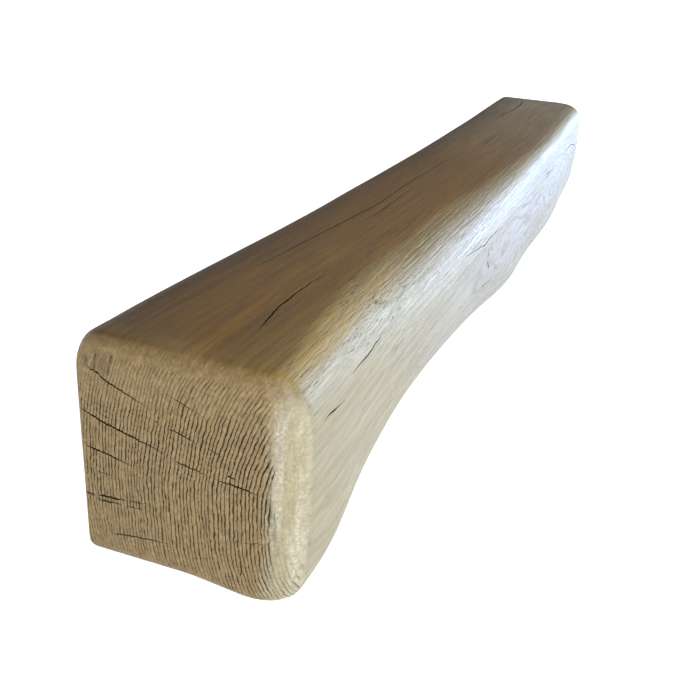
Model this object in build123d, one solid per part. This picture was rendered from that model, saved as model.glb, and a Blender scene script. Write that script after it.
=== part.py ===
from build123d import *
import os
from math import cos, pi, radians, sin

# Oak beam in one piece: a short length of curved timber, sawn flat at the back
# so that it can stand against a wall, and worked soft on every other side.
#
# Millimetres. While it is shaped, x runs from the left end to the right end,
# y is 0 on the flat back and negative towards the front, and z is 0 on the two
# planed bearings under the ends. The last step moves the origin to the middle
# of the beam's footprint.

# Size of the squared timber
LENGTH = 1250.0
DEPTH = 153.0
HEIGHT = 153.5

# The trunk's swell at the left end: how far it lifts the top, at the back and
# at the front, and how far it lets the foot of the front draw in
SWELL_REACH = 385.0
TOP_BACK_SWELL = 7.5
TOP_FRONT_SWELL = 8.5
SWELL_TAPER = 1.3

# The foot of the front kicks out a little just behind the left end
FOOT_KICK = 4.2
FOOT_PLACE = 50.0
FOOT_LEFT_REACH = 50.0
FOOT_RIGHT_REACH = 80.0

# The arch that the curved grain leaves in the underside, off centre to the
# left, with the foot of the front scooped in above it
ARCH_RISE = 22.7
ARCH_CENTRE = 245.0
ARCH_LEFT_REACH = 242.0
ARCH_RIGHT_REACH = 428.0
ARCH_FULLNESS = 0.8
ARCH_SCOOP = 8.5

# Beyond the arch the foot of the front stands out in a knuckle and a belly
KNUCKLE_DEPTH = 5.6
KNUCKLE_CENTRE = 640.0
KNUCKLE_REACH = 165.0
BELLY_DEPTH = 11.7
BELLY_CENTRE = 915.0
BELLY_REACH = 244.0

# The top sags along the middle and lifts at the right end
TOP_SAG = 2.4
SAG_CENTRE = 690.0
SAG_REACH = 400.0
RIGHT_LIFT = 4.6
LIFT_REACH = 300.0

# The underside rises at the right end, where the timber wanes
WANE_RISE = 10.5
WANE_REACH = 104.0
WANE_POWER = 1.5

# Over the arch the top front arris is worked to a wide shoulder, and the front's
# crown sits lower to make room for it
SHOULDER_RADIUS = 61.0
SHOULDER_CENTRE = 290.0
SHOULDER_LEFT_REACH = 290.0
SHOULDER_RIGHT_REACH = 560.0
SHOULDER_FULLNESS = 0.7
CROWN_DROP = 0.11

# Cross-section
FRONT_CROWN = 4.0
CROWN_HEIGHT = 0.52
CROWN_RADIUS = 260.0
TOP_BACK_RADIUS = 12.0
TOP_FRONT_RADIUS = 28.0
FOOT_RADIUS = 28.0
ARCH_RADIUS = 41.0
BELLY_RADIUS = 35.0
UNDER_HOLLOW = 4.0
HOLLOW_PLACE = 0.52
HOLLOW_RADIUS = 160.0

# Rounded ends: how far along the beam the rounding reaches, and how far it
# draws the top, the front and the underside in at the end face
LEFT_NOSE = {"reach": 15.0, "top": 22.0, "front": 30.0, "under": 17.5}
RIGHT_NOSE = {"reach": 28.5, "top": 1.0, "front": 37.5, "under": 20.0}
NOSE_ANGLES = (20, 40, 58, 72)

# The left end is cut out of square: the slope towards the front and upwards,
# and how far from the end the sections have turned square again
SKEW_OUT = 0.02
SKEW_UP = 0.01
SKEW_REACH = 200.0
SKEW_HEIGHT = 75.0

# Flats
BACK_SAW_CUT = 0.5
BEARING_CUT = 1.5
ARRIS_SIZE = 2.0

SECTION_COUNT = 33


def hump(x, centre, left_reach, right_reach):
    """1 at the centre, falling smoothly to 0 at the reach on each side."""
    reach = left_reach if x < centre else right_reach
    return cos(min(abs(x - centre) / reach, 1.0) * pi / 2) ** 2


def edge_heights(x):
    """Height of the underside, the top's back edge and its front edge at x."""
    swell = hump(x, 0.0, SWELL_REACH, SWELL_REACH)
    arch = hump(x, ARCH_CENTRE, ARCH_LEFT_REACH, ARCH_RIGHT_REACH) ** ARCH_FULLNESS
    sag = TOP_SAG * hump(x, SAG_CENTRE, SAG_REACH, SAG_REACH)
    lift = RIGHT_LIFT * hump(x, LENGTH, LIFT_REACH, LIFT_REACH)
    wane = WANE_RISE * hump(x, LENGTH, WANE_REACH, WANE_REACH) ** WANE_POWER
    under = -BEARING_CUT + ARCH_RISE * arch + wane
    top = HEIGHT - sag + lift
    return under, top + TOP_BACK_SWELL * swell, top + TOP_FRONT_SWELL * swell


def foot_out(x):
    """How far the foot of the front stands out beyond its top edge at x."""
    swell = hump(x, 0.0, SWELL_REACH, SWELL_REACH)
    arch = hump(x, ARCH_CENTRE, ARCH_LEFT_REACH, ARCH_RIGHT_REACH) ** ARCH_FULLNESS
    kick = FOOT_KICK * hump(x, FOOT_PLACE, FOOT_LEFT_REACH, FOOT_RIGHT_REACH)
    knuckle = KNUCKLE_DEPTH * hump(x, KNUCKLE_CENTRE, KNUCKLE_REACH, KNUCKLE_REACH)
    belly = BELLY_DEPTH * hump(x, BELLY_CENTRE, BELLY_REACH, BELLY_REACH)
    return kick + knuckle + belly - SWELL_TAPER * swell - ARCH_SCOOP * arch


def shoulder(x):
    """1 where the wide shoulder is fullest, 0 where the top front arris has its plain radius."""
    return hump(x, SHOULDER_CENTRE, SHOULDER_LEFT_REACH, SHOULDER_RIGHT_REACH) ** SHOULDER_FULLNESS


def foot_radius(x):
    """Radius of the front's lower corner at x, softer over the arch and the belly."""
    arch = hump(x, ARCH_CENTRE, ARCH_LEFT_REACH, ARCH_RIGHT_REACH) ** ARCH_FULLNESS
    belly = hump(x, BELLY_CENTRE, BELLY_REACH, BELLY_REACH)
    return FOOT_RADIUS + (ARCH_RADIUS - FOOT_RADIUS) * arch + (BELLY_RADIUS - FOOT_RADIUS) * belly


def skewed(x, y, z):
    """The point moved along the beam to follow the left end's out-of-square cut."""
    share = max(1.0 - x / SKEW_REACH, 0.0) ** 2
    return (x + share * (SKEW_OUT * y + SKEW_UP * (z - SKEW_HEIGHT)), y, z)


def section(x, top_draw=0.0, front_draw=0.0, under_draw=0.0):
    """The closed cross-section at x, as a face."""
    under, top_back, top_front = edge_heights(x)
    under += under_draw
    top_back -= top_draw
    top_front -= top_draw
    front_top = -DEPTH + front_draw
    front_low = front_top - foot_out(x)
    crown_y = (front_top + front_low) / 2 - FRONT_CROWN
    crown_z = under + (CROWN_HEIGHT - CROWN_DROP * shoulder(x)) * (top_front - under)
    corners = (
        (BACK_SAW_CUT, top_back),
        (front_top, top_front),
        (crown_y, crown_z),
        (front_low, under),
        (HOLLOW_PLACE * front_low, under + UNDER_HOLLOW),
        (BACK_SAW_CUT, under),
    )
    arris_radius = TOP_FRONT_RADIUS + (SHOULDER_RADIUS - TOP_FRONT_RADIUS) * shoulder(x)
    radii = (TOP_BACK_RADIUS, arris_radius, CROWN_RADIUS, foot_radius(x), HOLLOW_RADIUS, 0)
    points = [skewed(x, y, z) for y, z in corners]
    return Face(Wire(FilletPolyline(*points, radius=radii, close=True).edges()))


def nose(start, direction, shape):
    """Rounded end: sections drawn in along quarter ellipses, from the body outwards."""
    sections = [section(start)]
    for angle in NOSE_ANGLES:
        along = shape["reach"] * sin(radians(angle))
        inward = 1 - cos(radians(angle))
        sections.append(
            section(
                start + direction * along,
                top_draw=shape["top"] * inward,
                front_draw=shape["front"] * inward,
                under_draw=shape["under"] * inward,
            )
        )
    return loft(sections if direction > 0 else sections[::-1])


def body():
    """The worked timber: a long middle lofted through its sections, and two noses."""
    last_angle = radians(NOSE_ANGLES[-1])
    left = LEFT_NOSE["reach"] * sin(last_angle)
    right = LENGTH - RIGHT_NOSE["reach"] * sin(last_angle)
    spacing = (right - left) / (SECTION_COUNT - 1)
    middle = loft([section(left + n * spacing) for n in range(SECTION_COUNT)])
    return middle + nose(left, -1, LEFT_NOSE) + nose(right, 1, RIGHT_NOSE)


def saw_flats(timber):
    """Saws the back to one plane and planes the two bearings."""
    margin = 60.0
    keep = Box(
        LENGTH + 2 * margin,
        DEPTH + 2 * margin,
        HEIGHT + 2 * margin,
        align=(Align.MIN, Align.MAX, Align.MIN),
    )
    return timber & Pos(-margin, 0, 0) * keep


def soften_back(timber):
    """Breaks the sharp arrises round the sawn back."""
    back = timber.faces().sort_by(Axis.Y)[-1]
    return chamfer(back.edges(), ARRIS_SIZE)


beam = soften_back(saw_flats(body()))
box = beam.bounding_box()
beam = Pos(-box.center().X, -box.center().Y, -box.min.Z) * beam

os.makedirs("parts", exist_ok=True)
export_step(beam, "parts/beam.step")
print("size", beam.bounding_box().size, "volume", round(beam.volume), "shift", box.center())
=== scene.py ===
"""Oak mantel beam: one sawn length of curved oak, brushed so that its growth rings stand proud."""

import math
from types import SimpleNamespace
from typing import NamedTuple

import bmesh
import bpy
from bpy.props import FloatProperty, FloatVectorProperty, IntProperty, PointerProperty
from mathutils import Matrix, Vector, noise
from mathutils.bvhtree import BVHTree
from mathutils.kdtree import KDTree


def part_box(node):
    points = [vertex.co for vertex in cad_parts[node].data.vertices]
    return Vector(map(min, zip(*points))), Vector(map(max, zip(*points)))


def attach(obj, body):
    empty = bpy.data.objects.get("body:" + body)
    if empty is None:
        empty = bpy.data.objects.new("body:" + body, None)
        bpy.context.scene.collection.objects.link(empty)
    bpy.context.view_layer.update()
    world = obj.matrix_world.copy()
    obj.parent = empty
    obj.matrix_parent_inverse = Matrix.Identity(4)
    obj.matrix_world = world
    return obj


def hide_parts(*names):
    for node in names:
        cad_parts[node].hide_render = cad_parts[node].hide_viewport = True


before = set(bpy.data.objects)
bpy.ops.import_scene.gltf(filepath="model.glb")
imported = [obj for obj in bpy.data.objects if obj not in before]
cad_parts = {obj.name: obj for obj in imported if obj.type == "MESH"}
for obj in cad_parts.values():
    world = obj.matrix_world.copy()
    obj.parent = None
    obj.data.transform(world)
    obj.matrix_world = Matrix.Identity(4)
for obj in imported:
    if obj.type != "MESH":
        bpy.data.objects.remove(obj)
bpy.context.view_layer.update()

bl_info = {
    "name": "Oak Beam",
    "version": (1, 0, 0),
    "blender": (4, 5, 0),
    "location": "3D View > Sidebar > Oak Beam",
    "description": "Dresses a solid oak beam: brushed growth rings, drying checks, waxed finish and a studio",
    "category": "Object",
}

MM = 0.001
LOW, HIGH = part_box("beam")

# Length of the squared timber, and how far the out-of-square left end reaches past it, in mm
LENGTH = 1250.0
LEFT_SKEW = 3.07


def at(along, out, up):
    """Place in the frame, from mm along from the left end, out from the back and up from the underside."""
    return Vector((LOW.x + (along + LEFT_SKEW) * MM, HIGH.y + out * MM, LOW.z + up * MM))


def in_mm(place):
    """A place in the frame, in mm along, out and up."""
    return (place.x - LOW.x) / MM - LEFT_SKEW, (place.y - HIGH.y) / MM, (place.z - LOW.z) / MM


def smoothstep(low, high, value):
    """0 below low, 1 above high, and a smooth rise between them."""
    t = min(max((value - low) / (high - low), 0.0), 1.0)
    return t * t * (3 - 2 * t)


def wave(*place):
    """Smooth noise of about -1 to 1 at a place given by three numbers."""
    return noise.noise(Vector(place))


def tint(name, description, default):
    """A colour property."""
    return FloatVectorProperty(
        name=name, description=description, subtype="COLOR", default=default, min=0, max=1)


class OakBeamSizes(bpy.types.PropertyGroup):
    """Sizes of the wood's figure and of the mesh that carries it."""

    pith_out: FloatProperty(
        name="Pith Out", description="How far in front of the back face the trunk's centre ran",
        default=0.275, unit="LENGTH")
    pith_up: FloatProperty(
        name="Pith Height", description="Height of the trunk's centre at the left end",
        default=0.066, unit="LENGTH")
    wide_ring: FloatProperty(
        name="Widest Ring", description="Width of the growth rings nearest the trunk's centre",
        default=0.0029, unit="LENGTH")
    ring_taper: FloatProperty(
        name="Ring Taper", description="How much narrower rings get for each unit further from the centre",
        default=0.004, min=0.0)
    ring_relief: FloatProperty(
        name="Ring Relief", description="Depth of the brushed-out soft wood between rings on the left end",
        default=0.00090, unit="LENGTH")
    core_inset: FloatProperty(
        name="Core Inset", description="How far inside the beam's box the mesh's centre lines run",
        default=0.042, unit="LENGTH")
    cells_across: IntProperty(
        name="Cells Across", description="Mesh cells across each side of the beam", default=52, min=8)
    cells_along: IntProperty(
        name="Cells Along", description="Mesh cells along the beam between its rounded ends",
        default=170, min=8)
    cells_nose: IntProperty(
        name="Cells In End", description="Mesh cells along each rounded end", default=16, min=2)


class OakBeamFinish(bpy.types.PropertyGroup):
    """Colours of the waxed oak, some of which hold painted shade, painted sheen and painted highlights."""

    # Top: the wax's own browner colour, made darker still by painted shade of the top face
    top_brown_and_shade: tint("Top", "Ridges of the waxed top", (0.204, 0.103, 0.012))
    # Far top: a painted sheen that greys the top towards its right end
    top_far_sheen: tint("Far Top", "Greyer ridges of the top's right end", (0.33, 0.25, 0.16))
    # Arris: a gold band where the top turns into the front, browner away from the left end
    arris_gold: tint("Arris", "Bright band along the top front arris", (0.475, 0.335, 0.105))
    arris_amber: tint("Far Arris", "Browner band along the rest of the arris", (0.265, 0.168, 0.022))
    front_cream: tint("Front", "Ridges of the limed front", (0.49, 0.433, 0.308))
    # Far front: a painted sheen that makes the front paler and cooler towards its right end
    front_far_sheen: tint("Far Front", "Cooler ridges of the front's right half", (0.685, 0.68, 0.735))
    # Front streaks: the wood's warmer streaks, and also the painted shade at the front's foot
    front_beige_and_foot_shade: tint("Front Streaks", "Warmer streaks along the front", (0.46, 0.39, 0.24))
    # Near corner and its streaks: a painted highlight on the rounding between the left end and the front
    nose_highlight_cream: tint("Near Corner", "Corner between the left end and the front", (0.66, 0.60, 0.41))
    highlight_white: tint("Bright Corner", "Pale streaks shining on that corner", (0.90, 0.89, 0.78))
    end_tan: tint("Ends", "Ridges of the sawn ends", (0.50, 0.37, 0.185))
    groove_brown: tint("Grooves", "Soft wood in the grooves between rings", (0.055, 0.032, 0.013))
    # Checks: torn wood, made near black by painted shade of the narrow cracks
    check_dark: tint("Checks", "Inside of the drying checks", (0.030, 0.018, 0.010))


# Growth of the trunk, in mm

# How far the trunk's centre bows up along the beam and leans out and up, and the length of that lean
BOW_RISE = 14
LEAN_OUT, LEAN_UP, LEAN_LENGTH = 7, 8, 260

# Radius of the widest rings, how little the rings may shrink to, and how unevenly they grew
INNERMOST_RADIUS = 120.0
LEAST_SHRINK = 0.1
UNEVEN_RINGS, UNEVEN_RATE = 0.40, 0.62

# Wobbles of the rings: by how many rings, their length along the beam, their width, and a shift
WOBBLES = ((0.75, 210, 38, 0), (0.24, 70, 6.5, 9), (0.09, 50, 2.6, 0))

# Swirls of the grain on the front: distance along, height, reach, and how many rings they add
SWIRLS = (
    (495, 88, 14, 2.5),
    (645, 60, 20, 3.0),
    (780, 58, 16, 4.0),
    (905, 92, 18, -2.5),
    (1130, 66, 26, 4.0),
)
SWIRL_STRETCH = 2.2
SWIRL_DEPTHS = (-100, -135)

# Brushing of the ends: its least share at the foot, top and back and the mm over which it grows from
# there, its patches, and its wandering and leaning border before the smooth front corner
FOOT_BRUSHING, FOOT_HEIGHTS = 0.62, (8, 62)
TOP_BRUSHING, TOP_HEIGHTS = 0.35, (108, 142)
BACK_BRUSHING, BACK_DEPTHS = 0.78, (-20, -110)
LEAST_PATCH, PATCH_RANGE, PATCH_WIDTH, PATCH_LENGTH = 0.62, 0.75, 17, 40
BORDER_DEPTHS, BORDER_WANDER, BORDER_WIDTH = (-140, -131), 5, 12
BORDER_LEAN, BORDER_LEAN_HEIGHT = 0.10, 90

# Shares of a ring over which the groove's steep inner wall and gentle outer wall run
INNER_WALL, OUTER_WALL = (0.34, 0.46), (0.52, 0.86)


def pith_line(along):
    """Place (out, up) of the trunk's centre at a distance along the beam."""
    sizes = bpy.context.scene.oak_beam_sizes
    bow = math.sin(math.pi * min(max(along / LENGTH, 0.0), 1.0))
    lean = wave(along / LEAN_LENGTH, 3.1, 0.4)
    return -sizes.pith_out / MM + LEAN_OUT * lean, sizes.pith_up / MM + BOW_RISE * bow + LEAN_UP * lean


def growth(place):
    """Ring count outwards from the trunk's centre, at a place in mm."""
    sizes = bpy.context.scene.oak_beam_sizes
    along, out, up = place
    centre_out, centre_up = pith_line(along)
    radius = math.hypot(out - centre_out, up - centre_up)
    narrower = sizes.ring_taper * (radius - INNERMOST_RADIUS) / (sizes.wide_ring / MM)
    count = -math.log(max(1 - narrower, LEAST_SHRINK)) / sizes.ring_taper
    wobble = UNEVEN_RINGS * wave(count * UNEVEN_RATE, 5.5, 1.5)
    for rings, length, width, shift in WOBBLES:
        wobble += rings * wave(along / length, out / width, up / width + shift)
    swirl = 0.0
    for centre, height, reach, rings in SWIRLS:
        away = math.hypot((along - centre) / SWIRL_STRETCH, up - height) / reach
        swirl += rings * math.exp(-away * away)
    return count + wobble + swirl * smoothstep(*SWIRL_DEPTHS, out)


def brushing(place):
    """How deeply the rings of an end were brushed out, 0 to 1, at a place in mm."""
    along, out, up = place
    share = FOOT_BRUSHING + (1 - FOOT_BRUSHING) * smoothstep(*FOOT_HEIGHTS, up)
    share *= 1 - (1 - TOP_BRUSHING) * smoothstep(*TOP_HEIGHTS, up)
    share *= BACK_BRUSHING + (1 - BACK_BRUSHING) * smoothstep(*BACK_DEPTHS, out)
    patchy = 0.5 + 0.5 * wave(out / PATCH_WIDTH, up / PATCH_WIDTH, along / PATCH_LENGTH + 2)
    share *= LEAST_PATCH + PATCH_RANGE * patchy
    border = out + BORDER_WANDER * wave(up / BORDER_WIDTH, 7.3, 0.2)
    border -= BORDER_LEAN * max(up - BORDER_LEAN_HEIGHT, 0.0)
    return min(max(share * smoothstep(*BORDER_DEPTHS, border), 0.0), 1.0)


def ring_groove(count):
    """1 in the brushed-out spring wood of a ring, and 0 on its hard ridge."""
    phase = count % 1.0
    return smoothstep(*INNER_WALL, phase) * (1 - smoothstep(*OUTER_WALL, phase))


# The beam's mesh

TINY = 1e-6
SAME_PLACE = 0.01 * MM
LEFT_END_CUTS = 3
SOFTENING_ROUNDS = 4

# Turn of a normal, counting a share of how far it faces up, over which the left end's relief comes in
CORNER_SHARE = 0.17
END_TURN = (0.95, 0.99)

# Unevenness of hand work, in mm
WORKED_DEPTH, WORKED_LENGTH, WORKED_WIDTH = 0.35, 85, 30


def edges_along(bm, axis):
    """Edges of a box cage that run along one axis."""
    return [e for e in bm.edges if abs((e.verts[1].co - e.verts[0].co)[axis]) > TINY]


def graded(share, nose_cells, body_cells, inset, half):
    """Maps an even share of -1 to 1 along the beam to closer cells in the rounded ends."""
    total = 2 * nose_cells + body_cells
    cell = (abs(share) * total) / 2
    body_half = body_cells / 2
    if cell <= body_half:
        place = cell / body_half * (half - inset)
    else:
        place = half - inset + (cell - body_half) / nose_cells * inset
    return math.copysign(place, share)


def box_cage():
    """A closed box of quads round the beam, with closer cells in its ends."""
    sizes = bpy.context.scene.oak_beam_sizes
    bm = bmesh.new()
    bmesh.ops.create_cube(bm, size=2.0)
    cells = (2 * sizes.cells_nose + sizes.cells_along, sizes.cells_across, sizes.cells_across)
    for axis, count in enumerate(cells):
        bmesh.ops.subdivide_edges(bm, edges=edges_along(bm, axis), cuts=count - 1, use_grid_fill=True)
    middle = (LOW + HIGH) / 2
    half = (HIGH - LOW) / 2
    for vert in bm.verts:
        share = vert.co.copy()
        vert.co = Vector((
            graded(share.x, sizes.cells_nose, sizes.cells_along, sizes.core_inset, half.x),
            share.y * half.y,
            share.z * half.z,
        )) + middle
    return bm


def refine_left_end(bm):
    """Four times closer cells on the flat of the left end, for the ring relief."""
    faces = [f for f in bm.faces if all(abs(v.co.x - LOW.x) < TINY for v in f.verts)]
    edges = {e for f in faces for e in f.edges}
    bmesh.ops.subdivide_edges(bm, edges=list(edges), cuts=LEFT_END_CUTS, use_grid_fill=True)


def project_on(bm, solid):
    """Moves each point of the cage out from the beam's core onto the sawn solid."""
    inset = bpy.context.scene.oak_beam_sizes.core_inset
    depsgraph = bpy.context.evaluated_depsgraph_get()
    tree = BVHTree.FromObject(solid, depsgraph)
    core_low = LOW + Vector((inset, inset, inset))
    core_high = HIGH - Vector((inset, inset, inset))
    for vert in bm.verts:
        core = Vector(min(max(vert.co[i], core_low[i]), core_high[i]) for i in range(3))
        hit = tree.ray_cast(core, (vert.co - core).normalized())
        if hit[0] is None:
            raise RuntimeError(f"the cage missed the solid at {tuple(core)}")
        vert.co = hit[0]


def soften(bm):
    """Evens out the solid's flat facets."""
    for _ in range(SOFTENING_ROUNDS):
        bmesh.ops.smooth_vert(
            bm, verts=bm.verts, factor=0.5, use_axis_x=True, use_axis_y=True, use_axis_z=True)


def figure_of(bm):
    """What the finish reads at each point: ring count, brushing, facing up, out and endways, and darkening
    from marks, one of which is painted shade.
    """
    bm.normal_update()
    places = [in_mm(vert.co) for vert in bm.verts]
    return {
        "ring": [growth(place) for place in places],
        "brushing": [brushing(place) for place in places],
        "up": [vert.normal.z for vert in bm.verts],
        "front": [-vert.normal.y for vert in bm.verts],
        "end": [abs(vert.normal.x) for vert in bm.verts],
        "stain_and_shade": [0.0] * len(places),
    }


def keep_figure(mesh, tree, figure):
    """Stores the figure on the cut mesh; points that the cut made take it from their nearest neighbour."""
    whole = {name: [] for name in figure}
    for vert in mesh.vertices:
        _, index, distance = tree.find(vert.co)
        for name, values in figure.items():
            whole[name].append(values[index])
        if distance > SAME_PLACE:
            whole["ring"][-1] = growth(in_mm(vert.co))
    for name, values in whole.items():
        mesh.attributes.new(name, "FLOAT", "POINT").data.foreach_set("value", values)


def segment_distance(spot, first, second):
    """Distance in mm from a spot to the line between two others."""
    run = second - first
    share = min(max((spot - first).dot(run) / run.length_squared, 0.0), 1.0)
    return (spot - first - run * share).length


def carve_relief(bm, solid, figure):
    """Brushed rings on the left end, tool marks, and a slight hand-worked unevenness all over."""
    relief = bpy.context.scene.oak_beam_sizes.ring_relief
    tree = BVHTree.FromObject(solid, bpy.context.evaluated_depsgraph_get())
    marks = [(mark, [surface_spot(tree, mark.side, *step)[0] for step in mark.path]) for mark in MARKS]
    moves = []
    for n, vert in enumerate(bm.verts):
        along, out, up = in_mm(vert.co)
        worked = 0.5 + 0.5 * wave(along / WORKED_LENGTH, out / WORKED_WIDTH, up / WORKED_WIDTH)
        sink = worked * WORKED_DEPTH * MM
        if along < LENGTH / 2:
            on_end = smoothstep(*END_TURN, figure["end"][n] + CORNER_SHARE * abs(figure["up"][n]))
            sink += ring_groove(figure["ring"][n]) * on_end * figure["brushing"][n] * relief
        for mark, spots in marks:
            if (vert.co - spots[0]).length < mark.reach * MM:
                away = min(segment_distance(vert.co, a, b) for a, b in zip(spots, spots[1:])) / MM
                share = smoothstep(mark.half_width, 0.0, away)
                sink += mark.depth * MM * share
                figure["stain_and_shade"][n] = max(figure["stain_and_shade"][n], mark.stain_and_shade * share)
        moves.append(vert.co - vert.normal * sink)
    for vert, move in zip(bm.verts, moves):
        vert.co = move


# Drying checks and tool marks

LEFT, RIGHT, TOP, FRONT = "left", "right", "top", "front"


class Check(NamedTuple):
    """One drying check: its path on a face, width at the mouth and depth in mm, and raggedness."""

    side: str
    path: tuple
    width: float
    depth: float
    ragged: float = 0.5
    widest: float = 0.4


class Mark(NamedTuple):
    """One shallow dent: its path on a face, half width, depth and reach in mm, and how dark it is."""

    side: str
    path: tuple
    half_width: float
    depth: float
    reach: float
    stain_and_shade: float


CHECKS = (
    # Left end, from the top down
    Check(LEFT, ((-9, 142), (-17, 139), (-23, 135), (-37, 130), (-54, 124)), 1.1, 9, 1.0, 0.3),
    Check(LEFT, ((-64, 138), (-74, 134), (-92, 128)), 0.55, 4),
    Check(LEFT, ((-57, 117), (-61, 115)), 1.0, 3),
    Check(LEFT, ((-65, 114), (-75, 113), (-85, 109)), 1.0, 6, 1.2, 0.6),
    Check(LEFT, ((-94, 108), (-104, 105)), 0.6, 4),
    Check(LEFT, ((-3, 111), (-22, 105), (-40, 101), (-55, 98), (-66, 94)), 1.25, 18, 0.5, 0.25),
    Check(LEFT, ((-69, 93), (-84, 91), (-95, 89)), 0.9, 8, 0.8),
    Check(LEFT, ((-98, 89), (-106, 88), (-114, 88), (-129, 86)), 1.1, 8, 1.0, 0.5),
    Check(LEFT, ((-105, 94), (-112, 92)), 1.3, 3),
    Check(LEFT, ((-5, 85), (-22, 83), (-42, 79)), 1.2, 10, 0.5, 0.25),
    Check(LEFT, ((-11, 68), (-25, 68)), 0.45, 3),
    Check(LEFT, ((-1, 49), (-11, 49)), 0.9, 10, 1.0),
    Check(LEFT, ((-12, 50), (-23, 51), (-34, 52.5)), 1.5, 10, 1.2),
    Check(LEFT, ((-36, 53), (-47, 54)), 0.9, 6, 1.0),
    Check(LEFT, ((-10, 46), (-20, 47), (-31, 48)), 1.1, 7, 1.1),
    Check(LEFT, ((-33, 48.5), (-48, 49.5)), 0.6, 5),
    Check(LEFT, ((-18, 22), (-37, 26), (-67, 30)), 0.85, 7, 0.6),
    Check(LEFT, ((-70, 21), (-86, 26), (-101, 31)), 0.5, 4),
    Check(LEFT, ((-118, 49), (-134, 54)), 0.5, 4, 1.0),
    Check(LEFT, ((-117, 33), (-115, 19)), 0.7, 4),
    # Top, from the left
    Check(TOP, ((133, -36), (204, -40), (289, -44), (404, -52), (524, -50), (692, -57)), 0.9, 9, 0.8, 0.4),
    Check(TOP, ((59, -95), (86, -91), (101, -89), (140, -88), (172, -89), (190, -87)), 1.3, 8, 1.0, 0.25),
    Check(TOP, ((312, -59), (378, -63), (427, -62), (524, -60)), 0.7, 5, 0.9),
    Check(TOP, ((773, -72), (837, -73), (908, -74)), 0.9, 6),
    Check(TOP, ((990, -45), (1048, -45), (1095, -51), (1151, -54), (1220, -47)), 1.3, 9, 0.7, 0.7),
    # Front, from the left
    Check(FRONT, ((23, 130), (36, 129), (57, 128)), 1.0, 4, 1.5),
    Check(FRONT, ((72, 137), (94, 136), (119, 134), (161, 135)), 0.9, 5, 1.2),
    Check(FRONT, ((388, 119), (466, 111), (487, 112), (518, 112), (543, 110)), 0.8, 5, 0.9, 0.6),
    Check(FRONT, ((489, 102), (484, 96), (483, 90), (488, 82), (496, 76)), 6.0, 4, 0.2, 0.6),
    Check(FRONT, ((465, 63), (500, 60)), 0.6, 4),
    Check(FRONT, ((650, 106), (725, 100)), 0.7, 4),
    Check(FRONT, ((835, 112), (878, 110)), 1.1, 5),
    Check(FRONT, ((947, 116), (1015, 111), (1126, 107), (1190, 95), (1214, 80)), 1.1, 7, 0.8, 0.7),
    # Right end
    Check(RIGHT, ((-8, 92), (-60, 84), (-105, 76)), 1.3, 14),
    Check(RIGHT, ((-12, 52), (-48, 50)), 1.0, 8),
    Check(RIGHT, ((-20, 128), (-52, 116)), 0.8, 7),
)

MARKS = (
    Mark(LEFT, ((-16, 150), (-15, 141)), 1.6, 1.0, 18, 0.9),
    Mark(LEFT, ((-27, 151), (-25, 140)), 1.6, 1.0, 20, 0.9),
    Mark(LEFT, ((-22, 149), (-20, 143)), 8.0, 0.5, 20, 0.4),
    Mark(LEFT, ((-10, 147), (-9, 143)), 2.2, 0.5, 14, 0.5),
    # Painted shade: this dent along the left end's front edge is also darkened like a crease in shade
    Mark(LEFT, ((-132, 84), (-136, 70), (-137, 58)), 3.5, 0.9, 34, 0.3),
    Mark(FRONT, ((497, 102), (481, 97), (486, 88), (505, 76)), 5.0, 1.6, 42, 0.2),
)

OUTWARD = {
    LEFT: Vector((-1, 0, 0)),
    RIGHT: Vector((1, 0, 0)),
    TOP: Vector((0, 0, 1)),
    FRONT: Vector((0, -1, 0)),
}


# Lines inside the beam from which paths are pushed out onto its faces, in mm
CORE_OUT, CORE_UP = -80, 75


def surface_spot(tree, side, first, second):
    """Place and normal on the solid of a path's point on one side of the beam."""
    if side in (LEFT, RIGHT):
        inside = at(LENGTH / 2, first, second)
    elif side == TOP:
        inside = at(first, second, CORE_UP)
    else:
        inside = at(first, CORE_OUT, second)
    spot, normal, _, _ = tree.ray_cast(inside, OUTWARD[side])
    if spot is None:
        raise RuntimeError(f"nothing on the {side} of the beam at {first}, {second}")
    return spot, normal


LEAST_STEPS = 6


def spread_along(path, step):
    """Points spaced about a step apart along a polyline, with the share of the way for each."""
    lengths = [math.dist(a, b) for a, b in zip(path, path[1:])]
    total = sum(lengths)
    count = max(LEAST_STEPS, int(total / step))
    points = []
    for n in range(count + 1):
        share = n / count
        left = share * total
        for (a, b), length in zip(zip(path, path[1:]), lengths):
            if left <= length + TINY:
                t = left / length
                points.append((share, (a[0] + (b[0] - a[0]) * t, a[1] + (b[1] - a[1]) * t)))
                break
            left -= length
    return points


# How a check opens and closes along its path
LEAST_MOUTH, OPENING_POWER, CLOSING_POWER = 0.03, 0.6, 0.7


def mouth(share, widest):
    """Share of a check's full width along its path: quick to open, slow to run out."""
    if share < widest:
        return math.sin(math.pi / 2 * max(share / widest, LEAST_MOUTH)) ** OPENING_POWER
    return max(math.cos(math.pi / 2 * (share - widest) / (1 - widest)), LEAST_MOUTH) ** CLOSING_POWER


# Blades that cut the checks: spacing of their stations on the ends and along the beam, how far they
# stand out of the wood and flare there, the half width of their cutting edge, and their raggedness
END_STEP, LONG_STEP = 1.6, 5.0
BLADE_LIFT, BLADE_FLARE, BLADE_EDGE = 1.0, 1.15, 0.05
RAGGEDNESS, NARROWEST = 0.8, 0.25


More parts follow.
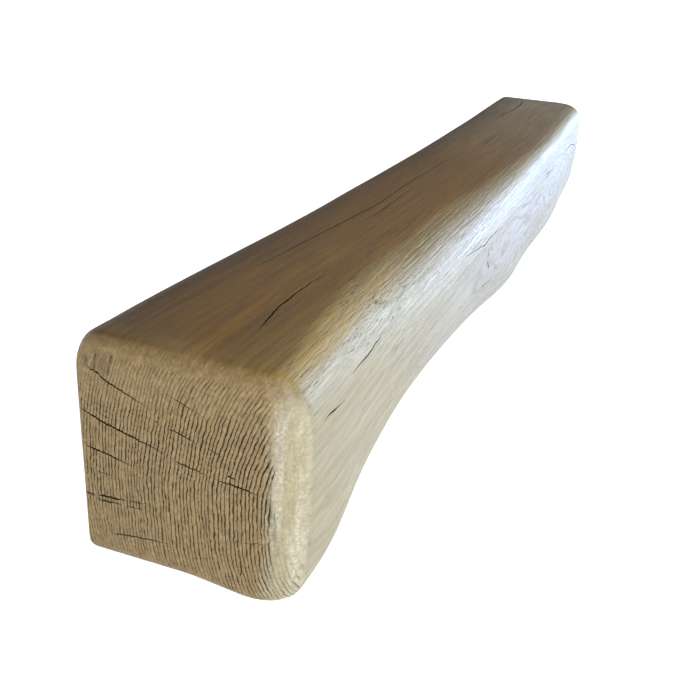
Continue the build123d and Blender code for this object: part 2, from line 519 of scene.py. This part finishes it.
def blade(check, tree, seed):
    """A closed thin wedge that follows a check's path and tapers out at both ends."""
    stations = spread_along(check.path, END_STEP if check.side in (LEFT, RIGHT) else LONG_STEP)
    count = len(stations) - 1
    bm = bmesh.new()
    bmesh.ops.create_cube(bm, size=2.0)
    bmesh.ops.subdivide_edges(bm, edges=edges_along(bm, 0), cuts=count - 1, use_grid_fill=True)
    spots = [surface_spot(tree, check.side, *station) for _, station in stations]
    normal = sum((spot[1] for spot in spots), Vector()).normalized()
    run = (spots[-1][0] - spots[0][0]).normalized()
    across = normal.cross(run).normalized()
    ragged = RAGGEDNESS * check.ragged
    for vert in bm.verts:
        n = round((vert.co.x + 1) / 2 * count)
        side = vert.co.y
        swell = mouth(stations[n][0], check.widest)
        shift = ragged * wave(n * 0.55, seed * 5.1, 0) * min(swell * 2, 1.0)
        if vert.co.z > 0:
            uneven = max(1 + ragged * wave(n * 0.9, seed * 3.7, side), NARROWEST)
            half_width = check.width / 2 * swell * uneven * BLADE_FLARE
            move = across * (side * half_width + shift) + normal * BLADE_LIFT
        else:
            move = across * (side * BLADE_EDGE + shift) - normal * (check.depth * swell)
        vert.co = spots[n][0] + move * MM
    return bm


def cut_checks(beam, solid):
    """Cuts the drying checks out of the beam, leaving their walls in the second material."""
    depsgraph = bpy.context.evaluated_depsgraph_get()
    tree = BVHTree.FromObject(solid, depsgraph)
    blades = bpy.data.meshes.new("blades")
    whole = bmesh.new()
    for seed, check in enumerate(CHECKS):
        single = blade(check, tree, seed)
        single.to_mesh(blades)
        single.free()
        whole.from_mesh(blades)
    for face in whole.faces:
        face.material_index = 1
    whole.to_mesh(blades)
    whole.free()
    for material in beam.data.materials:
        blades.materials.append(material)
    cutter = bpy.data.objects.new("blades", blades)
    bpy.context.scene.collection.objects.link(cutter)
    cut = beam.modifiers.new("Checks", "BOOLEAN")
    cut.operation = "DIFFERENCE"
    cut.solver = "EXACT"
    cut.material_mode = "INDEX"
    cut.object = cutter
    bpy.context.view_layer.update()
    evaluated = beam.evaluated_get(bpy.context.evaluated_depsgraph_get())
    mesh = bpy.data.meshes.new_from_object(evaluated)
    beam.modifiers.clear()
    old = beam.data
    beam.data = mesh
    bpy.data.meshes.remove(old)
    bpy.data.objects.remove(cutter)
    bpy.data.meshes.remove(blades)


def crisp_check_rims(mesh):
    """Keeps the walls and rims of the checks sharp and everything else smooth."""
    bm = bmesh.new()
    bm.from_mesh(mesh)
    for face in bm.faces:
        face.smooth = face.material_index == 0
    for edge in bm.edges:
        kinds = {face.material_index for face in edge.link_faces}
        edge.smooth = len(kinds) < 2
    bm.to_mesh(mesh)
    bm.free()


# Materials: noise scales are per metre, ramps of a distance are in metres, all others are shares

class Nodes:
    """Small helper that adds and joins the nodes of one material."""

    def __init__(self, material):
        material.use_nodes = True
        self.tree = material.node_tree
        self.tree.nodes.clear()

    def add(self, kind, **settings):
        node = self.tree.nodes.new(kind)
        for name, value in settings.items():
            setattr(node, name, value)
        return node

    def join(self, out, into):
        self.tree.links.new(out, into)

    def value(self, socket, source):
        """Sets a socket to a number or colour, or joins it to another node's output."""
        if isinstance(source, bpy.types.NodeSocket):
            self.join(source, socket)
        else:
            socket.default_value = source

    def math(self, operation, first, second=0.0, clamp=False):
        node = self.add("ShaderNodeMath", operation=operation, use_clamp=clamp)
        for socket, source in zip(node.inputs, (first, second)):
            self.value(socket, source)
        return node.outputs[0]

    def sum(self, first, second):
        return self.math("ADD", first, second)

    def times(self, first, second):
        return self.math("MULTIPLY", first, second)

    def highest(self, first, *others):
        """The highest of several numbers."""
        for other in others:
            first = self.math("MAXIMUM", first, other)
        return first

    def moved(self, source, pattern, share):
        """A number moved by a share of a pattern."""
        return self.sum(source, self.times(pattern, share))

    def centred(self, source):
        """A noise moved from 0..1 to about -0.5..0.5."""
        return self.math("SUBTRACT", source, 0.5)

    def blend(self, factor, first, second):
        """Blends two numbers."""
        node = self.add("ShaderNodeMix", data_type="FLOAT")
        for name, source in (("Factor", factor), ("A", first), ("B", second)):
            self.value(node.inputs[name], source)
        return node.outputs["Result"]

    def mix(self, factor, first, second, blend="MIX"):
        """Blends two colours."""
        node = self.add("ShaderNodeMix", data_type="RGBA", blend_type=blend)
        self.value(node.inputs["Factor"], factor)
        for name, source in (("A", first), ("B", second)):
            joined = isinstance(source, bpy.types.NodeSocket)
            self.value(node.inputs[name], source if joined else (*source, 1))
        return node.outputs["Result"]

    def ramp(self, source, stops):
        """A colour ramp with (place, grey or colour) stops."""
        node = self.add("ShaderNodeValToRGB")
        elements = node.color_ramp.elements
        while len(elements) < len(stops):
            elements.new(0.5)
        for element, (place, colour) in zip(elements, stops):
            element.position = place
            grey = isinstance(colour, (int, float))
            element.color = (colour, colour, colour, 1) if grey else (*colour, 1)
        self.join(source, node.inputs["Fac"])
        return node.outputs["Color"]

    def attribute(self, name):
        return self.add("ShaderNodeAttribute", attribute_name=name).outputs["Fac"]

    def coordinate(self, axis):
        """One object coordinate, in metres."""
        split = self.add("ShaderNodeSeparateXYZ")
        self.join(self.add("ShaderNodeTexCoord").outputs["Object"], split.inputs["Vector"])
        return split.outputs[axis]

    def noise(self, scale, detail=2.0, roughness=0.5):
        """Noise over object coordinates that are stretched by three scales per metre."""
        mapping = self.add("ShaderNodeMapping", vector_type="POINT")
        mapping.inputs["Scale"].default_value = scale
        self.join(self.add("ShaderNodeTexCoord").outputs["Object"], mapping.inputs["Vector"])
        node = self.add("ShaderNodeTexNoise")
        node.inputs["Scale"].default_value = 1.0
        node.inputs["Detail"].default_value = detail
        node.inputs["Roughness"].default_value = roughness
        self.join(mapping.outputs["Vector"], node.inputs["Vector"])
        return node.outputs["Fac"]


def shade(colour, share):
    """A colour made lighter or darker."""
    return tuple(share * channel for channel in colour)


def principled(name):
    """A new material, the helper for its nodes, and its main shader."""
    material = bpy.data.materials.new(name)
    n = Nodes(material)
    shader = n.add("ShaderNodeBsdfPrincipled")
    n.join(shader.outputs["BSDF"], n.add("ShaderNodeOutputMaterial").inputs["Surface"])
    return material, n, shader


def face_masks(n):
    """Where a spot lies, and its shares of top, front, arris and end, with uneven borders between them."""
    patch = n.centred(n.noise((3.2, 14, 14), 3.0))
    streak = n.centred(n.noise((5, 160, 160), 3.0))
    front = n.moved(n.moved(n.attribute("front"), patch, 0.22), streak, 0.20)
    up = n.attribute("up")
    endways = n.attribute("end")
    along = n.sum(n.coordinate("X"), -LOW.x)
    upward = n.ramp(up, ((0.15, 0.0), (0.65, 1.0)))
    beyond = n.ramp(along, ((0.10, 0.0), (0.30, 1.0)))
    turned = n.moved(front, beyond, -0.11)
    end = n.moved(endways, n.math("ABSOLUTE", up), CORNER_SHARE)
    top = n.times(n.ramp(turned, ((0.14, 1.0), (0.40, 0.0))), n.ramp(endways, ((0.35, 1.0), (0.92, 0.0))))
    gold = n.ramp(turned, ((0.12, 0.0), (0.32, 1.0), (0.56, 0.9), (0.74, 0.0)))
    gold = n.times(gold, n.ramp(endways, ((0.20, 1.0), (0.65, 0.25))))
    return SimpleNamespace(
        patch=patch,
        front=front,
        endways=endways,
        along=along,
        out=n.math("SUBTRACT", HIGH.y, n.coordinate("Y")),
        height=n.coordinate("Z"),
        beyond=beyond,
        far=n.ramp(n.moved(along, patch, 0.3), ((0.1465, 0.0), (0.5965, 1.0))),
        on_end=n.ramp(n.moved(end, patch, 0.02), ((0.965, 0.0), (0.992, 1.0))),
        on_front=n.ramp(n.moved(turned, endways, 0.13), ((0.26, 0.0), (0.52, 1.0))),
        on_top=n.times(top, upward),
        on_arris=n.times(gold, upward),
    )


def ring_lines(n):
    """Growth rings: a dark groove with gaps in it, and beside it a pale line that is a painted highlight on
    the ridge's edge.
    """
    wiggle = n.centred(n.noise((40, 520, 240), 2.0))
    phase = n.math("FRACT", n.moved(n.attribute("ring"), wiggle, 0.34))
    groove = n.ramp(phase, ((0.34, 0.0), (0.42, 1.0), (0.57, 1.0), (0.73, 0.0)))
    gap = n.ramp(n.noise((70, 260, 80), 3.0), ((0.34, 0.25), (0.56, 1.0)))
    return SimpleNamespace(
        line=n.times(groove, gap),
        rim=n.ramp(phase, ((0.12, 0.0), (0.30, 1.0), (0.38, 0.0))),
        brushed=n.attribute("brushing"),
    )


def fibre_patterns(n, faces):
    """Fibre and pores, the dashes and hairlines between them, the end grain's crumb, and broad streaks."""
    dash = n.ramp(n.noise((28, 820, 820), 2.0, 0.6), ((0.61, 0.0), (0.655, 1.0)))
    dash = n.times(dash, n.ramp(n.noise((12, 60, 60), 2.0), ((0.40, 0.05), (0.58, 1.0))))
    return SimpleNamespace(
        fine=n.noise((14, 520, 520), 4.0, 0.65),
        coarse=n.noise((7, 190, 190), 3.0, 0.6),
        dash=n.times(dash, n.ramp(faces.endways, ((0.15, 1.0), (0.45, 0.0)))),
        hair=n.ramp(n.noise((8, 330, 330), 4.0, 0.65), ((0.44, 0.0), (0.66, 1.0))),
        speck=n.ramp(n.noise((760, 760, 760), 1.0), ((0.52, 0.0), (0.62, 1.0))),
        crumb=n.noise((380, 380, 380), 5.0, 0.7),
        streak=n.ramp(n.noise((1.8, 30, 30), 3.0), ((0.38, 0.0), (0.62, 1.0))),
    )


def corner_highlight(n, faces):
    """Painted highlight on the corner between the left end and the front: paler wood, and whiter upright
    streaks on it.
    """
    out = n.moved(faces.out, faces.patch, 0.012)
    height = n.moved(faces.height, faces.patch, 0.02)
    pale = n.ramp(out, ((0.130, 0.0), (0.138, 1.0), (0.147, 1.0), (0.158, 0.15)))
    pale = n.times(pale, n.ramp(faces.endways, ((0.10, 0.0), (0.45, 1.0))))
    pale = n.times(pale, n.ramp(height, ((0.132, 1.0), (0.154, 0.0))))
    pale = n.times(pale, n.ramp(faces.along, ((0.05, 1.0), (0.15, 0.0))))
    upright = n.ramp(n.noise((120, 120, 16), 3.0), ((0.40, 0.0), (0.56, 1.0)))
    strokes = n.ramp(n.noise((90, 500, 500), 2.0), ((0.30, 0.2), (0.60, 1.0)))
    white = n.times(n.times(pale, upright), n.times(strokes, 0.9))
    return SimpleNamespace(pale=pale, white=white)


def top_colour_shade_and_sheen(n, finish, faces, streak):
    """Brown of the top with painted shade in it, greyed to the right by a painted sheen, darker at the back
    by painted shade, and paler by the end and the arris.
    """
    out = n.moved(faces.out, faces.patch, 0.03)
    right = n.ramp(n.moved(n.coordinate("X"), faces.patch, 0.2), ((0.0, 0.0), (0.50, 1.0)))
    edge = n.ramp(n.moved(faces.along, faces.patch, 0.05), ((0.008, 0.4), (0.030, 0.0)))
    near_end = n.ramp(faces.along, ((0.0, 1.0), (0.20, 0.0)))
    near_arris = n.ramp(out, ((0.085, 0.0), (0.125, 0.6)))
    # The top's brown holds painted shade of the top face as well as the wax's own colour
    brown = n.mix(streak, finish.top_brown_and_shade, shade(finish.top_brown_and_shade, 1.25))
    # Painted sheen: the top greys towards its right end
    brown = n.mix(right, brown, finish.top_far_sheen)
    brown = n.mix(edge, brown, finish.end_tan)
    # Painted shade: the top darkens towards its back edge
    brown = n.mix(1.0, brown, n.ramp(out, ((0.0, 0.36), (0.060, 1.0))), "MULTIPLY")
    return n.mix(n.times(near_end, near_arris), brown, shade(finish.arris_gold, 0.72))


def front_colour_shade_and_sheen(n, finish, faces, streak):
    """Cream of the front, made silvery to the right by a painted sheen, with warmer streaks and a warmer foot
    of painted shade.
    """
    # Painted sheen: the front turns paler and cooler towards its right end
    cream = n.mix(faces.far, finish.front_cream, finish.front_far_sheen)
    cream = n.mix(n.times(streak, n.blend(faces.far, 0.55, 0.25)), cream, finish.front_beige_and_foot_shade)
    # Painted shade: the front turns warmer and darker towards its foot
    return n.mix(n.ramp(faces.height, ((0.0, 0.5), (0.09, 0.0))), cream, finish.front_beige_and_foot_shade)


def ridge_colour(n, finish, faces, rings, fibres, corner):
    """Colour of the wood between its grooves and pores, with painted shade, sheen and highlights in it."""
    ridge = n.mix(faces.on_front, finish.end_tan, front_colour_shade_and_sheen(n, finish, faces, fibres.streak))
    ridge = n.mix(faces.on_top, ridge, top_colour_shade_and_sheen(n, finish, faces, fibres.streak))
    amber = n.mix(faces.beyond, finish.arris_gold, finish.arris_amber)
    ridge = n.mix(n.times(faces.on_arris, 0.95), ridge, amber)
    # Painted highlight on the corner between the left end and the front
    ridge = n.mix(n.times(corner.pale, 0.85), ridge, finish.nose_highlight_cream)
    ridge = n.mix(corner.white, ridge, finish.highlight_white)
    weave = n.sum(n.times(fibres.fine, 0.6), n.times(fibres.coarse, 0.5))
    weave_dark = n.blend(faces.on_front, 0.58, 0.84)
    weave = n.blend(n.ramp(weave, ((0.34, 0.0), (0.76, 1.0))), weave_dark, 1.26)
    ridge = n.mix(1.0, ridge, weave, "MULTIPLY")
    # Painted highlight: a pale line along each ridge's edge beside its groove, on the ends
    painted_rim_highlight = n.times(faces.on_end, n.times(rings.rim, rings.brushed))
    ridge = n.mix(painted_rim_highlight, ridge, shade(finish.end_tan, 1.6))
    crumbly = n.mix(1.0, ridge, n.ramp(fibres.crumb, ((0.36, 0.78), (0.66, 1.14))), "MULTIPLY")
    return n.mix(faces.on_end, ridge, crumbly)


def darkening(n, faces, rings, fibres, corner):
    """How far grooves, pores, dashes and marks darken the wood, one mark's darkening being painted shade."""
    line = n.times(rings.line, n.ramp(faces.front, ((0.10, 0.08), (0.40, 0.14), (0.80, 0.14), (1.0, 0.16))))
    line = n.times(line, n.blend(faces.far, 1.0, 2.0))
    low_corner = n.times(n.ramp(faces.height, ((0.020, 1.0), (0.055, 0.0))),
                         n.ramp(faces.endways, ((0.25, 0.0), (0.55, 1.0))))
    low_line = n.times(n.times(rings.line, low_corner), 0.75)
    near_arris = n.times(n.ramp(faces.front, ((0.0, 0.55), (0.20, 1.0), (0.55, 0.9), (1.0, 0.35))),
                         n.blend(faces.far, 1.0, 0.15))
    dash = n.times(n.times(fibres.dash, near_arris), n.blend(corner.pale, 0.9, 0.3))
    dark_long = n.highest(line, low_line, dash, n.times(fibres.hair, 0.17))
    pores = n.times(fibres.speck, n.sum(n.times(rings.line, 0.5), 0.12))
    dark_end = n.math("MULTIPLY", n.sum(rings.line, pores), n.times(rings.brushed, 1.6), clamp=True)
    return n.highest(n.blend(faces.on_end, dark_long, dark_end), n.attribute("stain_and_shade"))


def fine_relief(n, faces, rings, fibres):
    """Normal bent by the fibre, dashes and rings that are finer than the mesh."""
    lines = n.highest(n.times(rings.line, 0.15), fibres.dash)
    long_height = n.moved(n.times(fibres.fine, 0.6), lines, -0.6)
    long_height = n.moved(long_height, fibres.hair, -0.55)
    long_height = n.times(long_height, n.ramp(faces.on_top, ((0.3, 1.0), (1.0, 0.80))))
    end_height = n.moved(n.times(fibres.crumb, 0.9), n.times(rings.line, rings.brushed), -1.8)
    bump = n.add("ShaderNodeBump")
    bump.inputs["Strength"].default_value = 0.9
    bump.inputs["Distance"].default_value = 0.0006
    n.join(n.blend(faces.on_end, long_height, end_height), bump.inputs["Height"])
    return bump.outputs["Normal"]


def oak_material():
    """Brushed, waxed oak: rings, pores and fibre, browner on top with painted shade and paler in front, with
    a painted sheen to the right and painted highlights.
    """
    finish = bpy.context.scene.oak_beam_finish
    material, n, shader = principled("oak")
    faces = face_masks(n)
    rings = ring_lines(n)
    fibres = fibre_patterns(n, faces)
    corner = corner_highlight(n, faces)
    ridge = ridge_colour(n, finish, faces, rings, fibres, corner)
    dark = darkening(n, faces, rings, fibres, corner)
    n.join(n.mix(dark, ridge, finish.groove_brown), shader.inputs["Base Color"])
    # Wax sits on the ridges and leaves the grooves dull
    dull = n.ramp(n.sum(n.times(dark, 0.5), n.times(fibres.fine, 0.5)), ((0.2, 0.46), (0.6, 0.70)))
    n.join(n.blend(faces.on_top, dull, 0.62), shader.inputs["Roughness"])
    shader.inputs["IOR"].default_value = 1.5
    n.join(fine_relief(n, faces, rings, fibres), shader.inputs["Normal"])
    return material


def check_material():
    """Near-black torn wood inside the drying checks, darkened further by painted shade."""
    dark = bpy.context.scene.oak_beam_finish.check_dark
    material, n, shader = principled("oak_check")
    torn = n.noise((60, 700, 700), 3.0)
    n.join(n.ramp(torn, ((0.3, dark), (0.8, shade(dark, 2.4)))), shader.inputs["Base Color"])
    shader.inputs["Roughness"].default_value = 1.0
    shader.inputs["Specular IOR Level"].default_value = 0.0
    return material


class OAKBEAM_OT_beam(bpy.types.Operator):
    """Model the brushed oak beam over its sawn solid"""

    bl_idname = "oak_beam.beam"
    bl_label = "Oak Beam"

    def execute(self, context):
        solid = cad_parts["beam"]
        bm = box_cage()
        refine_left_end(bm)
        project_on(bm, solid)
        soften(bm)
        figure = figure_of(bm)
        carve_relief(bm, solid, figure)
        tree = KDTree(len(bm.verts))
        for n, vert in enumerate(bm.verts):
            tree.insert(vert.co, n)
        tree.balance()
        mesh = bpy.data.meshes.new("oak_beam")
        bm.to_mesh(mesh)
        bm.free()
        mesh.materials.append(oak_material())
        mesh.materials.append(check_material())
        beam = bpy.data.objects.new("oak_beam", mesh)
        context.scene.collection.objects.link(beam)
        cut_checks(beam, solid)
        crisp_check_rims(beam.data)
        keep_figure(beam.data, tree, figure)
        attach(beam, "root")
        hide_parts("beam")
        return {"FINISHED"}


# Studio

FLOOR_REACH = 30.0
FLOOR_SEGMENTS = 64
BACKDROP_HEIGHT = 6.5
FLOOR_GREY = (0.80, 0.80, 0.80, 1)
FLOOR_GLOW = (0.92, 0.96, 1.0, 1)
SKY_COLOUR = (0.95, 0.97, 1.0, 1)
SKY_STRENGTH = 0.18


class Softbox(NamedTuple):
    """A large rectangular lamp: its place, what it is aimed at, its size in metres, watts and colour."""

    name: str
    place: tuple
    target: tuple
    size: tuple
    power: float
    colour: tuple


SOFTBOXES = (
    Softbox("window", (2.9, -1.9, 0.70), (0.2, -0.05, 0.05), (2.2, 1.1), 112, (0.62, 0.80, 1.0)),
    Softbox("near_window", (-1.7, -1.25, 0.50), (-0.6, -0.05, 0.08), (0.6, 0.8), 18, (1.0, 0.96, 0.88)),
    Softbox("behind", (0.4, 2.4, 0.35), (0, 0, 0.08), (1.8, 0.7), 20, (1.0, 0.96, 0.90)),
    Softbox("overhead", (-0.2, 0.1, 2.3), (0, 0, 0.1), (1.6, 0.8), 13, (1.0, 0.90, 0.76)),
)


def floor_material():
    """Pale floor that is white to the camera and in reflections, and still takes the beam's shadow."""
    material = bpy.data.materials.new("studio_floor")
    n = Nodes(material)
    diffuse = n.add("ShaderNodeBsdfDiffuse")
    diffuse.inputs["Color"].default_value = FLOOR_GREY
    glow = n.add("ShaderNodeEmission")
    glow.inputs["Color"].default_value = FLOOR_GLOW
    ray = n.add("ShaderNodeLightPath").outputs
    seen = n.highest(ray["Is Camera Ray"], ray["Is Glossy Ray"], ray["Is Transmission Ray"])
    n.join(seen, glow.inputs["Strength"])
    both = n.add("ShaderNodeAddShader")
    n.join(diffuse.outputs["BSDF"], both.inputs[0])
    n.join(glow.outputs["Emission"], both.inputs[1])
    n.join(both.outputs["Shader"], n.add("ShaderNodeOutputMaterial").inputs["Surface"])
    return material


def add_floor():
    """A round floor with a low backdrop raised on its rim."""
    bm = bmesh.new()
    bmesh.ops.create_circle(bm, cap_ends=True, segments=FLOOR_SEGMENTS, radius=FLOOR_REACH)
    rim = [edge for edge in bm.edges if edge.is_boundary]
    for part in bmesh.ops.extrude_edge_only(bm, edges=rim)["geom"]:
        if isinstance(part, bmesh.types.BMVert):
            part.co.z += BACKDROP_HEIGHT
    mesh = bpy.data.meshes.new("studio_floor")
    bm.to_mesh(mesh)
    bm.free()
    mesh.materials.append(floor_material())
    floor = bpy.data.objects.new("studio_floor", mesh)
    bpy.context.scene.collection.objects.link(floor)


def add_softbox(softbox):
    """Adds one lamp, aimed at its target."""
    lamp = bpy.data.lights.new(softbox.name, "AREA")
    lamp.shape = "RECTANGLE"
    lamp.size, lamp.size_y = softbox.size
    lamp.energy = softbox.power
    lamp.color = softbox.colour
    holder = bpy.data.objects.new(softbox.name, lamp)
    holder.location = softbox.place
    aim = Vector(softbox.target) - Vector(softbox.place)
    holder.rotation_euler = aim.to_track_quat("-Z", "Y").to_euler()
    bpy.context.scene.collection.objects.link(holder)


def add_world():
    """A dim, slightly cool sky."""
    world = bpy.data.worlds.new("studio")
    bpy.context.scene.world = world
    world.use_nodes = True
    sky = world.node_tree.nodes["Background"]
    sky.inputs["Color"].default_value = SKY_COLOUR
    sky.inputs["Strength"].default_value = SKY_STRENGTH


CAMERA_PLACE = at(-357.3, -302.2, 368.4)
CAMERA_RIGHT = Vector((0.36009, -0.93086, 0.06199))
CAMERA_LOOK = Vector((0.85298, 0.30159, -0.426))
CAMERA_LENS = 42.37
CAMERA_SENSOR = 36.0


def add_camera():
    """Camera at the photograph's viewing angle."""
    data = bpy.data.cameras.new("camera")
    data.lens = CAMERA_LENS
    data.sensor_width = CAMERA_SENSOR
    camera = bpy.data.objects.new("camera", data)
    look = CAMERA_LOOK.normalized()
    right = (CAMERA_RIGHT - look * CAMERA_RIGHT.dot(look)).normalized()
    up = right.cross(look)
    turn = Matrix((right, up, -look)).transposed()
    camera.matrix_world = Matrix.Translation(CAMERA_PLACE) @ turn.to_4x4()
    bpy.context.scene.collection.objects.link(camera)
    bpy.context.scene.camera = camera


class OAKBEAM_OT_studio(bpy.types.Operator):
    """Set the pale floor, soft lamps, world and camera"""

    bl_idname = "oak_beam.studio"
    bl_label = "Studio"

    def execute(self, context):
        add_floor()
        add_world()
        for softbox in SOFTBOXES:
            add_softbox(softbox)
        context.scene.view_settings.view_transform = "Standard"
        add_camera()
        return {"FINISHED"}


class OAKBEAM_PT_panel(bpy.types.Panel):
    """The beam's sizes, colours and operators"""

    bl_label = "Oak Beam"
    bl_idname = "OAKBEAM_PT_panel"
    bl_space_type = "VIEW_3D"
    bl_region_type = "UI"
    bl_category = "Oak Beam"

    def draw(self, context):
        layout = self.layout
        for group in (context.scene.oak_beam_sizes, context.scene.oak_beam_finish):
            for name in group.bl_rna.properties.keys():
                if name not in ("rna_type", "name"):
                    layout.prop(group, name)
        layout.operator(OAKBEAM_OT_beam.bl_idname)
        layout.operator(OAKBEAM_OT_studio.bl_idname)


CLASSES = (OakBeamSizes, OakBeamFinish, OAKBEAM_OT_beam, OAKBEAM_OT_studio, OAKBEAM_PT_panel)


def register():
    for cls in CLASSES:
        bpy.utils.register_class(cls)
    bpy.types.Scene.oak_beam_sizes = PointerProperty(type=OakBeamSizes)
    bpy.types.Scene.oak_beam_finish = PointerProperty(type=OakBeamFinish)


def unregister():
    del bpy.types.Scene.oak_beam_finish
    del bpy.types.Scene.oak_beam_sizes
    for cls in reversed(CLASSES):
        bpy.utils.unregister_class(cls)


def main():
    register()
    bpy.ops.oak_beam.beam()
    bpy.ops.oak_beam.studio()


if __name__ == "__main__":
    main()
